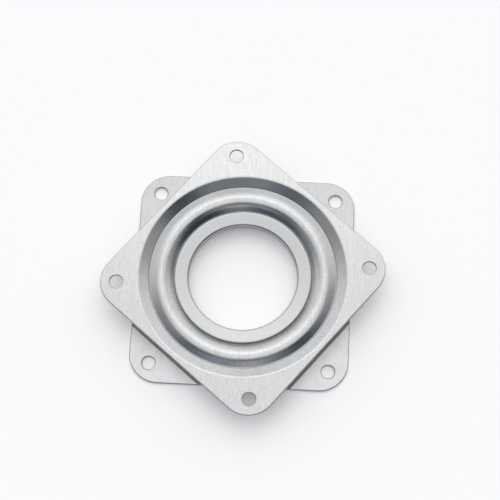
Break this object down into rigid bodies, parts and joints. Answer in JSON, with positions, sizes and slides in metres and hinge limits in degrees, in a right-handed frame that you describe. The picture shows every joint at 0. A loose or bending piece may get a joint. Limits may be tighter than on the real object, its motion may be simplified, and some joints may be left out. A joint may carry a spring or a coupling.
{
  "type": "lazy susan turntable bearing",
  "caption": "Square turntable bearing of two pressed steel plates that turn on a full ring of balls round an open flanged eyelet.",
  "frame": {"origin": "on the turning axis, in the plane that the bottom plate rests on", "axes": "+Z along the turning axis from the bottom plate to the top plate; X and Y along the sides of the bottom plate"},
  "size_m": [0.0998, 0.0998, 0.0086],
  "materials": {
    "plate_steel": "satin zinc plating",
    "eyelet_steel": "bright zinc plating",
    "ball_steel": "polished"
  },
  "bodies": {
    "base": {"bottom_plate": "plate_steel", "centre_eyelet": "eyelet_steel"},
    "ball_ring": {"ball_01": "ball_steel", "ball_02": "ball_steel", "ball_03": "ball_steel", "ball_04": "ball_steel", "ball_05": "ball_steel", "ball_06": "ball_steel", "ball_07": "ball_steel", "ball_08": "ball_steel", "ball_09": "ball_steel", "ball_10": "ball_steel", "ball_11": "ball_steel", "ball_12": "ball_steel", "ball_13": "ball_steel", "ball_14": "ball_steel", "ball_15": "ball_steel", "ball_16": "ball_steel", "ball_17": "ball_steel", "ball_18": "ball_steel", "ball_19": "ball_steel", "ball_20": "ball_steel", "ball_21": "ball_steel", "ball_22": "ball_steel", "ball_23": "ball_steel", "ball_24": "ball_steel", "ball_25": "ball_steel", "ball_26": "ball_steel", "ball_27": "ball_steel", "ball_28": "ball_steel", "ball_29": "ball_steel"},
    "turntable": {"top_plate": "plate_steel"}
  },
  "joints": [
    {"name": "plate_spin", "type": "hinge", "parent": "base", "child": "turntable", "pos_m": [0, 0, 0], "axis": [0, 0, 1], "continuous": true},
    {"name": "ball_orbit", "type": "hinge", "parent": "base", "child": "ball_ring", "pos_m": [0, 0, 0], "axis": [0, 0, 1], "continuous": true}
  ],
  "couplings": [
    {"joint": "ball_orbit", "follows": "plate_spin", "ratio": 0.5}
  ]
}
